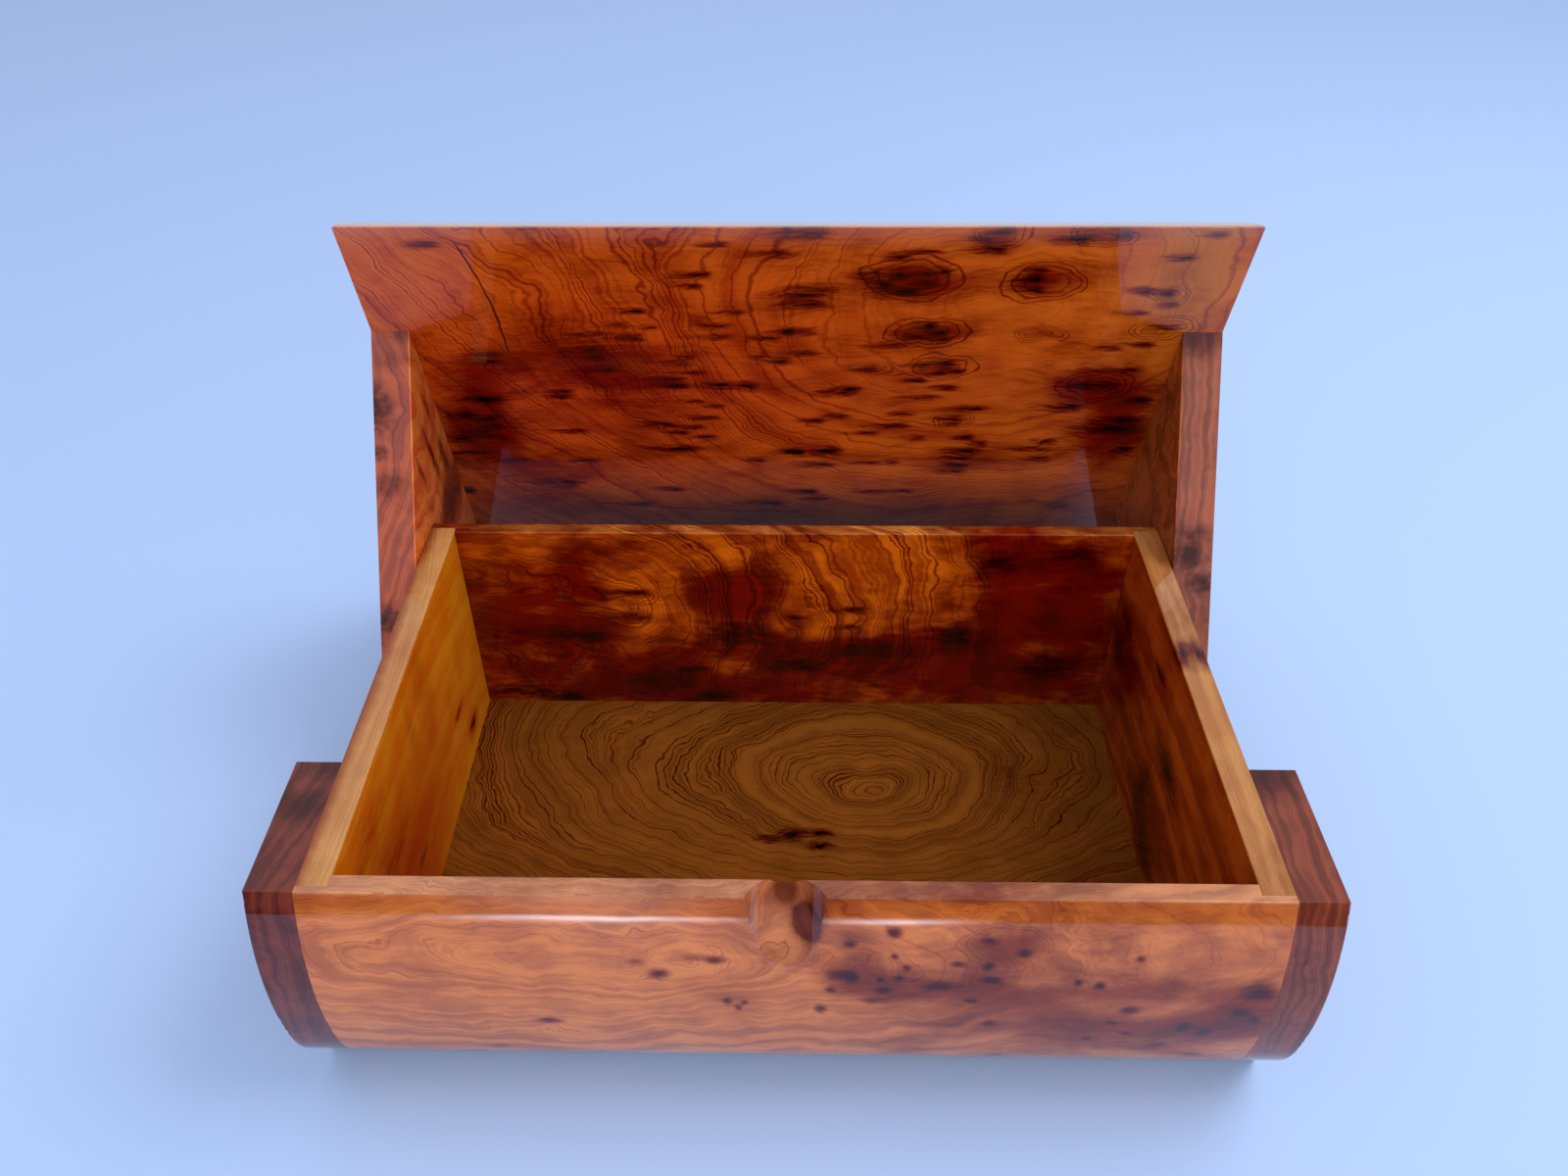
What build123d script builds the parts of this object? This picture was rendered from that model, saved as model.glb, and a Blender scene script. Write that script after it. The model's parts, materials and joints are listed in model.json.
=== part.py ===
from build123d import *
from math import asin, cos, degrees, radians, sin, sqrt, tan
import os

os.makedirs("parts", exist_ok=True)

# A burl wood box, standing open. The tray is a rectangular box whose front board is barrel shaped, with
# a solid block glued on each side of its front. The lid is a flat panel on two cheeks. It turns on two
# pins in the tray's side walls. Each cheek meets its end block along one slanted seam.
# Depths run back from the front's top edge and heights run up from the table, in millimetres.

# Whole box
box_length = 300.0
inside_depth = 159.7
inside_height = 87.5

# Board thicknesses
block_thickness = 14.0
wall_thickness = 9.1
front_rim_thickness = 6.3
back_thickness = 6.0
floor_thickness = 6.5
lid_thickness = 6.3

# Side walls are let into rabbets, which leave this much of the front and back boards over their ends
front_lap = 2.3
back_lap = 3.4

# Barrel front: a wide round above, a tighter one below it, then straight to the table
barrel_bulge = 8.8
barrel_radius = 105.0
barrel_drop = 42.5
barrel_end_lean = 10.7
foot_radius = 45.0
foot_lean = 30.0

# Slanted seam between end block and cheek
block_top_depth = 48.4
seam_slope = 51.0

# Finger scoop in the front's top edge
scoop_radius = 13.2
scoop_lean = 32.7
scoop_dip = 0.92
scoop_shift = -1.7

# Hinge and stop
lid_opening = 72.7
pivot_from_back = 5.2
pivot_below_rim = 62.4
pin_radius = 1.0
pin_in_wall = 7.0
pin_below_face = 0.3
pin_play = 0.05
peg_radius = 2.5
peg_in_cheek = 7.0
peg_reach = 10.0

# Lid outline
lid_overhang = 8.0
lid_front_setback = 2.7
lid_edge_round = 4.5
cheek_toe_round = 3.0

# Clearances between tray and lid, and softened edges
lid_gap = 0.4
seam_gap = 0.3
cheek_gap = 0.35
stop_gap = 0.3
table_gap = 0.6
edge_round = 0.5
back_edge_round = 1.0

# How far cutting shapes run past what they cut
overrun = 20.0

# Places worked out from the sizes above
box_half = box_length / 2
tray_half = box_half - block_thickness
inside_half = tray_half - wall_thickness
rim_height = floor_thickness + inside_height
tray_depth = front_rim_thickness + inside_depth + back_thickness
back_inner_depth = tray_depth - back_thickness
side_wall_end = tray_depth - back_lap
cheek_inner = tray_half + cheek_gap

barrel_height = rim_height - barrel_drop
barrel_centre = barrel_radius - barrel_bulge
crown_turn = degrees(asin(barrel_drop / barrel_radius))
foot_step = barrel_radius - foot_radius
foot_centre = barrel_centre - foot_step * cos(radians(barrel_end_lean))
foot_height = barrel_height - foot_step * sin(radians(barrel_end_lean))
foot_end_depth = foot_centre - foot_radius * cos(radians(foot_lean))
foot_end_height = foot_height - foot_radius * sin(radians(foot_lean))
base_front_depth = foot_end_depth + foot_end_height * tan(radians(foot_lean))
seam_foot_depth = block_top_depth + rim_height / tan(radians(seam_slope))

pivot_depth = tray_depth - pivot_from_back
pivot_height = rim_height - pivot_below_rim
lid_inner_height = rim_height + lid_gap
lid_back_depth = tray_depth + lid_overhang
seam_shift = seam_gap / sin(radians(seam_slope))
cheek_top_depth = block_top_depth + seam_shift - lid_gap / tan(radians(seam_slope))
cheek_toe_depth = seam_foot_depth + seam_shift - table_gap / tan(radians(seam_slope))
heel_radius = pivot_height - table_gap
heel_back = lid_back_depth - pivot_depth
heel_turn = degrees(asin(heel_back / heel_radius))

# The peg stands just behind the back board while the lid is shut, and rests on it when the lid is open
peg_depth = tray_depth + cheek_gap + peg_radius
peg_reach_open = pivot_from_back + peg_radius + stop_gap
peg_behind_pivot = peg_depth - pivot_depth
peg_above_pivot = (peg_reach_open - peg_behind_pivot * cos(radians(lid_opening))) / sin(radians(lid_opening))
peg_height = pivot_height + peg_above_pivot

# The origin is the middle of the tray's base, so depths are moved by this much along Y
origin_depth = (base_front_depth + tray_depth) / 2

# Directions of the shut lid's depth and height, once it is turned open about the pins
lid_back = Vector(0, cos(radians(lid_opening)), -sin(radians(lid_opening)))
lid_up = Vector(0, sin(radians(lid_opening)), cos(radians(lid_opening)))
lid_back_axis = Axis((0, 0, 0), lid_back)
lid_up_axis = Axis((0, 0, 0), lid_up)


def tray_section(x):
    """Plane across the box at x, whose coordinates are depth and height."""
    return Plane(origin=(x, -origin_depth, 0), x_dir=(0, 1, 0), z_dir=(1, 0, 0))


def lid_section(x):
    """The same depth and height as in the shut box, turned open about the pins."""
    pivot = Vector(x, pivot_depth - origin_depth, pivot_height)
    origin = pivot - lid_back * pivot_depth - lid_up * pivot_height
    return Plane(origin=origin, x_dir=lid_back, z_dir=(1, 0, 0))


def rectangle_between(low, high, mode=Mode.ADD):
    """Rectangle from its low corner to its high corner, each a depth and a height."""
    with Locations(((low[0] + high[0]) / 2, (low[1] + high[1]) / 2)):
        Rectangle(high[0] - low[0], high[1] - low[1], mode=mode)


def barrel_outline(back_points):
    """Barrel front closed by straight lines through the given points, from the table up to the rim."""
    with BuildLine() as outline:
        crown = CenterArc(
            (barrel_centre, barrel_height), barrel_radius, 180 - crown_turn, crown_turn + barrel_end_lean
        )
        foot = CenterArc(
            (foot_centre, foot_height), foot_radius, 180 + barrel_end_lean, foot_lean - barrel_end_lean
        )
        Polyline(foot @ 1, (base_front_depth, 0), *back_points, crown @ 0)
    make_face(outline.edges())


def tray_outline():
    barrel_outline([(tray_depth, 0), (tray_depth, rim_height)])


# Front board: the barrel's outer face over a flat inner face
with BuildPart() as front_board:
    with BuildSketch(tray_section(-tray_half)):
        tray_outline()
        rectangle_between(
            (-overrun, floor_thickness), (front_rim_thickness, rim_height), mode=Mode.INTERSECT
        )
    extrude(amount=2 * tray_half)
    rim_edges = front_board.edges().filter_by(Axis.X).group_by(Axis.Z)[-1]
    fillet(rim_edges, edge_round)
    # Rabbets for the side walls
    for x in (-tray_half, inside_half):
        with BuildSketch(tray_section(x)):
            rectangle_between((front_lap, floor_thickness), (front_rim_thickness, rim_height))
        extrude(amount=wall_thickness, mode=Mode.SUBTRACT)
    # Finger scoop: a leaning cylinder that runs out of the front face
    scoop_back = front_rim_thickness + scoop_dip / cos(radians(scoop_lean))
    scoop_axis_depth = scoop_back - scoop_radius / cos(radians(scoop_lean))
    scoop_plane = Plane(
        origin=(scoop_shift, scoop_axis_depth - origin_depth, rim_height),
        x_dir=(1, 0, 0),
        z_dir=(0, sin(radians(scoop_lean)), cos(radians(scoop_lean))),
    )
    with BuildSketch(scoop_plane):
        Circle(scoop_radius)
    extrude(amount=overrun, mode=Mode.SUBTRACT)
    with BuildSketch(scoop_plane):
        Circle(scoop_radius)
    extrude(amount=-rim_height, mode=Mode.SUBTRACT)

front_board.part.label = "front_board"
export_step(front_board.part, "parts/front_board.step")

# Back board, with a rabbet at each end for the side wall
with BuildPart() as back_wall:
    with BuildSketch(tray_section(-tray_half)):
        rectangle_between((back_inner_depth, floor_thickness), (tray_depth, rim_height))
    extrude(amount=2 * tray_half)
    top_edges = back_wall.edges().filter_by(Axis.X).group_by(Axis.Z)[-1].sort_by(Axis.Y)
    fillet(top_edges[0], edge_round)
    fillet(top_edges[-1], back_edge_round)
    for x in (-tray_half, inside_half):
        with BuildSketch(tray_section(x)):
            rectangle_between((back_inner_depth, floor_thickness), (side_wall_end, rim_height))
        extrude(amount=wall_thickness, mode=Mode.SUBTRACT)

back_wall.part.label = "back_wall"
export_step(back_wall.part, "parts/back_wall.step")

# Bottom panel, under all four walls, its front edge shaped with the barrel
with BuildPart() as bottom_panel:
    with BuildSketch(tray_section(-tray_half)):
        tray_outline()
        rectangle_between((-overrun, 0), (tray_depth, floor_thickness), mode=Mode.INTERSECT)
    extrude(amount=2 * tray_half)

bottom_panel.part.label = "bottom_panel"
export_step(bottom_panel.part, "parts/bottom_panel.step")

# What the box has on each side: wall, end block and pin in the tray, cheek and stop peg in the lid
for side, side_name in ((-1, "left"), (1, "right")):
    wall_start = min(side * tray_half, side * inside_half)
    block_start = min(side * tray_half, side * box_half)
    cheek_start = min(side * cheek_inner, side * box_half)
    pin_start = min(side * (tray_half - pin_in_wall), side * (box_half - pin_below_face))
    pin_length = box_half - pin_below_face - tray_half + pin_in_wall
    bore_start = min(side * (tray_half - pin_in_wall), side * tray_half)
    peg_start = min(side * (cheek_inner - peg_reach), side * (cheek_inner + peg_in_cheek))
    peg_bore_start = min(side * cheek_inner, side * (cheek_inner + peg_in_cheek))

    with BuildPart() as side_wall:
        with BuildSketch(tray_section(wall_start)):
            tray_outline()
            rectangle_between(
                (front_lap, floor_thickness), (side_wall_end, rim_height), mode=Mode.INTERSECT
            )
        extrude(amount=wall_thickness)
        rim_edges = side_wall.edges().filter_by(Axis.Y).group_by(Axis.Z)[-1]
        fillet(rim_edges.sort_by(Axis((0, 0, 0), (side, 0, 0)))[0], edge_round)
        with BuildSketch(tray_section(bore_start)):
            with Locations((pivot_depth, pivot_height)):
                Circle(pin_radius)
        extrude(amount=pin_in_wall, mode=Mode.SUBTRACT)
    side_wall.part.label = f"{side_name}_side_wall"
    export_step(side_wall.part, f"parts/{side_name}_side_wall.step")

    with BuildPart() as end_block:
        with BuildSketch(tray_section(block_start)):
            barrel_outline([(seam_foot_depth, 0), (block_top_depth, rim_height)])
        extrude(amount=block_thickness)
        outer_face = end_block.faces().sort_by(Axis((0, 0, 0), (side, 0, 0)))[-1]
        fillet(outer_face.edges(), edge_round)
    end_block.part.label = f"{side_name}_end_block"
    export_step(end_block.part, f"parts/{side_name}_end_block.step")

    with BuildPart() as hinge_pin:
        with BuildSketch(tray_section(pin_start)):
            with Locations((pivot_depth, pivot_height)):
                Circle(pin_radius)
        extrude(amount=pin_length)
    hinge_pin.part.label = f"{side_name}_hinge_pin"
    export_step(hinge_pin.part, f"parts/{side_name}_hinge_pin.step")

    # Cheek: slanted front, square top and back, and a heel that is round about the pin
    with BuildPart() as cheek:
        with BuildSketch(lid_section(cheek_start)):
            with BuildLine():
                heel = CenterArc((pivot_depth, pivot_height), heel_radius, -90, heel_turn)
                Polyline(
                    heel @ 1,
                    (lid_back_depth, lid_inner_height),
                    (cheek_top_depth, lid_inner_height),
                    (cheek_toe_depth, table_gap),
                    heel @ 0,
                )
            toe = make_face().vertices().sort_by(Axis.Y)[0:2].sort_by(Axis.X)[0]
            fillet(toe, cheek_toe_round)
        extrude(amount=box_half - cheek_inner)
        with BuildSketch(lid_section(cheek_start)):
            with Locations((pivot_depth, pivot_height)):
                Circle(pin_radius + pin_play)
        extrude(amount=box_half - cheek_inner, mode=Mode.SUBTRACT)
        with BuildSketch(lid_section(peg_bore_start)):
            with Locations((peg_depth, peg_height)):
                Circle(peg_radius)
        extrude(amount=peg_in_cheek, mode=Mode.SUBTRACT)
    cheek.part.label = f"{side_name}_cheek"
    export_step(cheek.part, f"parts/{side_name}_cheek.step")

    with BuildPart() as stop_peg:
        with BuildSketch(lid_section(peg_start)):
            with Locations((peg_depth, peg_height)):
                Circle(peg_radius)
        extrude(amount=peg_reach + peg_in_cheek)
        peg_tip = stop_peg.faces().sort_by(Axis((0, 0, 0), (side, 0, 0)))[0]
        chamfer(peg_tip.edges(), edge_round)
    stop_peg.part.label = f"{side_name}_stop_peg"
    export_step(stop_peg.part, f"parts/{side_name}_stop_peg.step")

# Lid panel: its front edge follows the barrel a little further back, its other outer edges are rounded
with BuildPart() as lid_panel:
    lid_outer_height = lid_inner_height + lid_thickness
    lid_front_centre = barrel_centre + lid_front_setback
    inner_rise = lid_inner_height - barrel_height
    outer_rise = lid_outer_height - barrel_height
    lid_front_inner = lid_front_centre - sqrt(barrel_radius**2 - inner_rise**2)
    lid_front_outer = lid_front_centre - sqrt(barrel_radius**2 - outer_rise**2)
    with BuildSketch(lid_section(-box_half)):
        with BuildLine():
            RadiusArc(
                (lid_front_inner, lid_inner_height), (lid_front_outer, lid_outer_height), barrel_radius
            )
            Polyline(
                (lid_front_outer, lid_outer_height),
                (lid_back_depth, lid_outer_height),
                (lid_back_depth, lid_inner_height),
                (lid_front_inner, lid_inner_height),
            )
        make_face()
    extrude(amount=box_length)
    outer_edges = lid_panel.edges().group_by(lid_up_axis)[-1]
    end_edges = outer_edges.filter_by(lid_back_axis)
    back_edge = outer_edges.filter_by(Axis.X).sort_by(lid_back_axis)[-1]
    fillet(end_edges + [back_edge], lid_edge_round)
lid_panel.part.label = "lid_panel"
export_step(lid_panel.part, "parts/lid_panel.step")

print("tray", round(tray_depth, 2), "deep and", round(rim_height, 2), "high")
print("hinge pins", round(pivot_depth - origin_depth, 3), "behind the origin and", pivot_height, "up")
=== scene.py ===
# %% [markdown]
# A burl wood jewelry box under a thick gloss varnish, standing open on a pale cloth. The boards come from
# the CAD model, which is loaded first as a fixed frame. This lesson dresses each board: its edges are
# softened, its growth figure is drawn with shader nodes, and a coat of varnish goes over it.

import json
from math import cos, pi, radians, sin

import bmesh
import bpy
from mathutils import Euler, Matrix, Vector


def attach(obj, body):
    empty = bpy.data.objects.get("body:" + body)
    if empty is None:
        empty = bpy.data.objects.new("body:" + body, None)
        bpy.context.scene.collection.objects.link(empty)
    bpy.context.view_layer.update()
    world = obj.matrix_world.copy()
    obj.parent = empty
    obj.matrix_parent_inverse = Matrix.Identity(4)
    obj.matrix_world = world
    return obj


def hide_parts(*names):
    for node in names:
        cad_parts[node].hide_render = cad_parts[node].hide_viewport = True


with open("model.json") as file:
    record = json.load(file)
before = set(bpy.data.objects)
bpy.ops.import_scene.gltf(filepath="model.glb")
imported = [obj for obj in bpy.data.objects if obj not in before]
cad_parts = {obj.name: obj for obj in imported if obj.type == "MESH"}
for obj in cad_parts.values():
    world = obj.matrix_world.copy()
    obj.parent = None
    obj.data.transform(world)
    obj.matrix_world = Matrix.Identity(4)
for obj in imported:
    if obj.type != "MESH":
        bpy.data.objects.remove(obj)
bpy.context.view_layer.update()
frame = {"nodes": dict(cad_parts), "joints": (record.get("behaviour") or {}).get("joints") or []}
MM = 0.001

# %% [markdown]
# The photograph looks down at the box by about forty degrees with a wide lens. A camera could be nudged by
# eye until it looks right. Here its place, turn and lens come from matching the corners of the tray and the
# lid, which is closer than the eye can get, so that the render can be laid over the photograph.

# %% Camera's place and turn
CAMERA_PLACE = Vector((-1.482, -294.26, 364.75)) * MM
PITCH = radians(40.467)
YAW = radians(-1.4337)
ROLL = radians(0.574)

forward = Vector((sin(YAW) * cos(PITCH), cos(YAW) * cos(PITCH), -sin(PITCH)))
level_right = Vector((cos(YAW), -sin(YAW), 0.0))
level_down = forward.cross(level_right)
right = level_right * cos(ROLL) + level_down * sin(ROLL)
down = level_down * cos(ROLL) - level_right * sin(ROLL)
print("camera looks along", [round(c, 3) for c in forward])

# %% [markdown]
# A lens is found in pixels, while a camera here wants it in millimetres of its sensor, so it is scaled by
# the width of both. The lens axis misses the middle of the photograph a little, and a small shift allows
# for that.

# %% Camera
PHOTO_WIDTH = 1600
PHOTO_HEIGHT = 1200
SENSOR = 36.0
FOCAL_PIXELS = 1250.355
AXIS_PIXEL = (780.3, 638.0)
NEAREST = 0.01

camera_data = bpy.data.cameras.new("camera")
camera_data.sensor_width = SENSOR
camera_data.lens = FOCAL_PIXELS / PHOTO_WIDTH * SENSOR
camera_data.shift_x = (PHOTO_WIDTH / 2 - AXIS_PIXEL[0]) / PHOTO_WIDTH
camera_data.shift_y = (AXIS_PIXEL[1] - PHOTO_HEIGHT / 2) / PHOTO_WIDTH
camera_data.clip_start = NEAREST
camera = bpy.data.objects.new("camera", camera_data)
facing = Matrix((right, -down, -forward)).transposed().to_4x4()
camera.matrix_world = Matrix.Translation(CAMERA_PLACE) @ facing
bpy.context.scene.collection.objects.link(camera)
bpy.context.scene.camera = camera
bpy.context.scene.view_settings.view_transform = "Standard"
print("lens", round(camera_data.lens, 2), "mm")

# %% [markdown]
# Colours are easiest to write as a paint chart gives them, with six digits each. Shaders count light in
# even steps instead, so one helper turns the first kind into the second.

# %% Colours
def linear(hex_colour):
    """A colour as a paint chart gives it, turned into the plain numbers that shaders take."""
    parts = [int(hex_colour[i:i + 2], 16) / 255 for i in (0, 2, 4)]
    return tuple(p / 12.92 if p < 0.04045 else ((p + 0.055) / 1.055) ** 2.4 for p in parts) + (1.0,)


print("middle grey is", [round(c, 3) for c in linear("808080")])

# %% [markdown]
# The real box stands on a pale, slightly blue cloth that fills the picture. A cloth with folds would draw
# the eye away from the box, so one wide flat face stands for it.

# %% Floor
FLOOR_SIZE = 8.0
floor_mesh = bpy.data.meshes.new("floor")
bm = bmesh.new()
bmesh.ops.create_grid(bm, x_segments=1, y_segments=1, size=FLOOR_SIZE / 2)
bm.to_mesh(floor_mesh)
bm.free()
floor = bpy.data.objects.new("floor", floor_mesh)
bpy.context.scene.collection.objects.link(floor)
print("floor", FLOOR_SIZE, "m square")

# %% [markdown]
# Soft daylight comes from windows. A sun lamp would draw hard shadows, so a wide square lamp stands for the
# window above right, and an even pale world gives the rest. A second square lamp fills in from the front.
# It is hidden from reflections, because the real varnish mirrors no window there.

# %% Light
WORLD_STRENGTH = 0.67
WINDOW = {"place": (0.9, 0.1, 1.35), "target": (-0.05, 0.0, 0.05), "size": 0.9, "power": 10.0}
FRONT_FILL = {"place": (0.0, -1.6, 1.2), "target": (0.0, 0.0, 0.1), "size": 1.8, "power": 16.0}


def soft_lamp(name, place, target, size, power):
    """A square lamp at place that faces target, both in metres."""
    data = bpy.data.lights.new(name, "AREA")
    data.shape = "SQUARE"
    data.size = size
    data.energy = power
    lamp = bpy.data.objects.new(name, data)
    aim = (Vector(target) - Vector(place)).to_track_quat("-Z", "Y")
    lamp.matrix_world = Matrix.Translation(place) @ aim.to_matrix().to_4x4()
    bpy.context.scene.collection.objects.link(lamp)
    return lamp


world = bpy.data.worlds.new("daylight")
world.use_nodes = True
world.node_tree.nodes["Background"].inputs["Strength"].default_value = WORLD_STRENGTH
bpy.context.scene.world = world
soft_lamp("sky_panel", **WINDOW)
front_panel = soft_lamp("front_panel", **FRONT_FILL)
front_panel.visible_glossy = False

# %% [markdown]
# Shader nodes are easier to read when a small helper adds and wires them. Each call below adds one node and
# returns its output, so a pattern is written like a sum. A soft hill is the brush for all that follows:
# with two coordinates it runs through the whole thickness of a board, with three it is round. The detail of
# a noise is how many finer copies of itself it carries.

# %% Node helper
HILL_BASE = 0.3679
SMOOTH, PLAIN, ROUGH, ROUGHEST = 1.0, 2.0, 3.0, 4.0


class Nodes:
    """Adds nodes to one material. An input is a number, a colour or another node's output."""

    def __init__(self, material):
        self.tree = material.node_tree

    def add(self, kind, inputs, output=0, **settings):
        node = self.tree.nodes.new(kind)
        for name, value in settings.items():
            setattr(node, name, value)
        for name, value in inputs.items():
            if isinstance(value, bpy.types.NodeSocket):
                self.tree.links.new(value, node.inputs[name])
            else:
                node.inputs[name].default_value = value
        return node.outputs[output]

    def split(self, place):
        node = self.tree.nodes.new("ShaderNodeSeparateXYZ")
        self.tree.links.new(place, node.inputs[0])
        return node.outputs

    def math(self, operation, *values):
        return self.add("ShaderNodeMath", dict(enumerate(values)), operation=operation)

    def vector(self, operation, *values, output=0):
        return self.add("ShaderNodeVectorMath", dict(enumerate(values)), output, operation=operation)

    def noise(self, place, size, detail=PLAIN, output=0, dimensions="3D"):
        socket = "W" if dimensions == "1D" else "Vector"
        inputs = {socket: place, "Scale": 1 / size, "Detail": detail}
        return self.add("ShaderNodeTexNoise", inputs, output, noise_dimensions=dimensions)

    def mix(self, share, first, second):
        inputs = {0: share, 6: first, 7: second}
        return self.add("ShaderNodeMix", inputs, 2, data_type="RGBA")

    def step(self, value, low, high, to_low=0.0, to_high=1.0):
        inputs = {"Value": value, 1: low, 2: high, 3: to_low, 4: to_high}
        return self.add("ShaderNodeMapRange", inputs, interpolation_type="SMOOTHSTEP")

    def fall(self, value, low, high):
        return self.step(value, low, high, 1.0, 0.0)

    def hill(self, place, spot, total, tail=1.0):
        """Adds a soft hill to total. A spot is the hill's centre, its half widths and its height. With a
        tail the hill is drawn out to the left that many times."""
        axes = (len(spot) - 1) // 2
        centre, sizes, height = spot[:axes], spot[axes:-1], spot[-1]
        scale = [1 / size for size in sizes] + [0.0] * (3 - axes)
        shift = [-c / size for c, size in zip(centre, sizes)] + [0.0] * (3 - axes)
        local = self.vector("MULTIPLY_ADD", place, scale, shift)
        if tail != 1.0:
            local = self.vector("MAXIMUM", local, self.vector("MULTIPLY", local, (-1 / tail, 1.0, 1.0)))
        away = self.vector("DOT_PRODUCT", local, local, output=1)
        return self.math("MULTIPLY_ADD", self.math("POWER", HILL_BASE, away), height, total)

    def hills(self, place, spots, total=0.0, tail=1.0):
        for spot in spots:
            total = self.hill(place, spot, total, tail)
        return total


print("node helper ready")

# %% [markdown]
# The varnish mirrors the room. Low down and towards the front the room is darker than the daylight, and a
# white reflection there would wash out the wood. So the world is dark in that zone, for reflections alone,
# and it lights the box evenly all the same.

# %% Daylight and dark room
WORLD_COLOUR = "f4f6ff"
ROOM_COLOUR = "241a18"
ROOM_FRONT = (-0.1, -0.4)
ROOM_TOP = (0.3, 0.45)
GLOSSY_RAY = 3

n = Nodes(world)
direction = n.split(n.add("ShaderNodeTexCoord", {}, 0))
in_gloss = n.add("ShaderNodeLightPath", {}, GLOSSY_RAY)
in_room = n.math("MULTIPLY", in_gloss, n.step(direction[1], *ROOM_FRONT))
in_room = n.math("MULTIPLY", in_room, n.fall(direction[2], *ROOM_TOP))
daylight = n.mix(in_room, linear(WORLD_COLOUR), linear(ROOM_COLOUR))
n.tree.links.new(daylight, n.tree.nodes["Background"].inputs["Color"])
print("room colour", ROOM_COLOUR)

# %% [markdown]
# The cloth has a dull, even weave, so it is one pale colour with hardly any shine. Past its front edge the
# real varnish mirrors a dark table with two soft streaks of light. A lamp there would light the box as
# well, so the floor itself carries them, for reflections alone. The streaks fan out from a point behind the
# front board, and each is given by its millimetres along that board and its metres in depth.

# %% Cloth
FLOOR_COLOUR = "b6d1fc"
CLOTH_ROUGHNESS = 0.9
CLOTH_SHINE = 0.1
BEYOND_COLOUR = "1a0f0a"
CLOTH_EDGE = (-0.43, -0.45)
STREAKS = [(-40, -0.44, 24, 0.03, 1.0), (-38, -0.75, 22, 0.35, 0.16), (22, -0.44, 12, 0.025, 0.8)]
STREAK_GLOW = 14.0
FAN_REACH = 204.0
FAN_POINT = 0.114

cloth = bpy.data.materials.new("pale_cloth")
cloth.use_nodes = True
n = Nodes(cloth)
along, depth = n.split(n.add("ShaderNodeTexCoord", {}, 3))[:2]
in_gloss = n.add("ShaderNodeLightPath", {}, GLOSSY_RAY)
fan = n.math("DIVIDE", FAN_REACH, n.math("SUBTRACT", FAN_POINT, depth))
fanned = n.add("ShaderNodeCombineXYZ", {0: n.math("MULTIPLY", along, fan), 1: depth})
streaks = n.hills(fanned, STREAKS)
beyond = n.math("MULTIPLY", in_gloss, n.step(depth, *CLOTH_EDGE))
glow = n.math("MULTIPLY", in_gloss, n.math("MULTIPLY", streaks, STREAK_GLOW))
cloth_shader = n.tree.nodes["Principled BSDF"]
cloth_colour = n.mix(beyond, linear(FLOOR_COLOUR), linear(BEYOND_COLOUR))
n.tree.links.new(cloth_colour, cloth_shader.inputs["Base Color"])
n.tree.links.new(glow, cloth_shader.inputs["Emission Strength"])
cloth_shader.inputs["Emission Color"].default_value = linear(WORLD_COLOUR)
cloth_shader.inputs["Roughness"].default_value = CLOTH_ROUGHNESS
cloth_shader.inputs["Specular IOR Level"].default_value = CLOTH_SHINE
floor_mesh.materials.append(cloth)
print("cloth", FLOOR_COLOUR, "with", len(STREAKS), "streaks beyond its edge")

# %% [markdown]
# Every pattern is drawn in the millimetres of the shut box: along its length, back from its front edge and
# up from the table. The lid is open, so its boards are first turned shut about the hinge pins. That way the
# figure of an end block runs on into its cheek across the slanted seam, as it does on the real box.

# %% Places on the shut box
ORIGIN_DEPTH = 90.292
PLANES = {"flat": (0, 1, 2), "front": (0, 2, 1), "side": (1, 2, 0)}
hinge = frame["joints"][0]
HINGE_PLACE = Vector(hinge["pos_m"]) / MM
LID_OPENING = radians(hinge["range_deg"][1])


def shut_place(n, on_lid, plane):
    """Where a point lies on the shut box, with the board's own length and width first."""
    place = n.add("ShaderNodeTexCoord", {}, 3)
    turn = LID_OPENING if on_lid else 0.0
    pivot = HINGE_PLACE if on_lid else Vector((0.0, 0.0, 0.0))
    shift = pivot - Euler((turn, 0.0, 0.0)).to_matrix() @ pivot + Vector((0.0, ORIGIN_DEPTH, 0.0))
    inputs = {"Vector": place, "Location": shift, "Rotation": (turn, 0.0, 0.0), "Scale": (1 / MM,) * 3}
    placed = n.add("ShaderNodeMapping", inputs)
    if plane == "flat":
        return placed
    parts = n.split(placed)
    return n.add("ShaderNodeCombineXYZ", {i: parts[axis] for i, axis in enumerate(PLANES[plane])})


print("hinge at", [round(c, 2) for c in HINGE_PLACE], "mm, open", hinge["range_deg"][1], "degrees")

# %% [markdown]
# Burl shows the growth rings of a bumpy trunk, cut flat. A painted picture would fit one face only, so the
# figure is drawn as a map that runs through the whole thickness of a board. The wood is a hill of rings
# around a crown, noise bends it, and each eye is a small hill of its own. A thin dark line stands where the
# count of rings passes a whole number, and so the lines wind around the eyes by themselves.

# %% Growth rings
YEAR_SIZE = 2.6
YEAR_DRIFT = 1.1
LINE_CORE = 0.1
LINE_EDGE = 0.55
FAINT_YEAR = 0.1


def strayed(n, start, noise_place, size, reach, detail=ROUGH):
    """start, moved by noise of a given size, by up to half of reach along each axis."""
    drift = n.vector("SUBTRACT", n.noise(noise_place, size, detail, 1), (0.5,) * 3)
    return n.vector("MULTIPLY_ADD", drift, reach, start)


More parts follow.
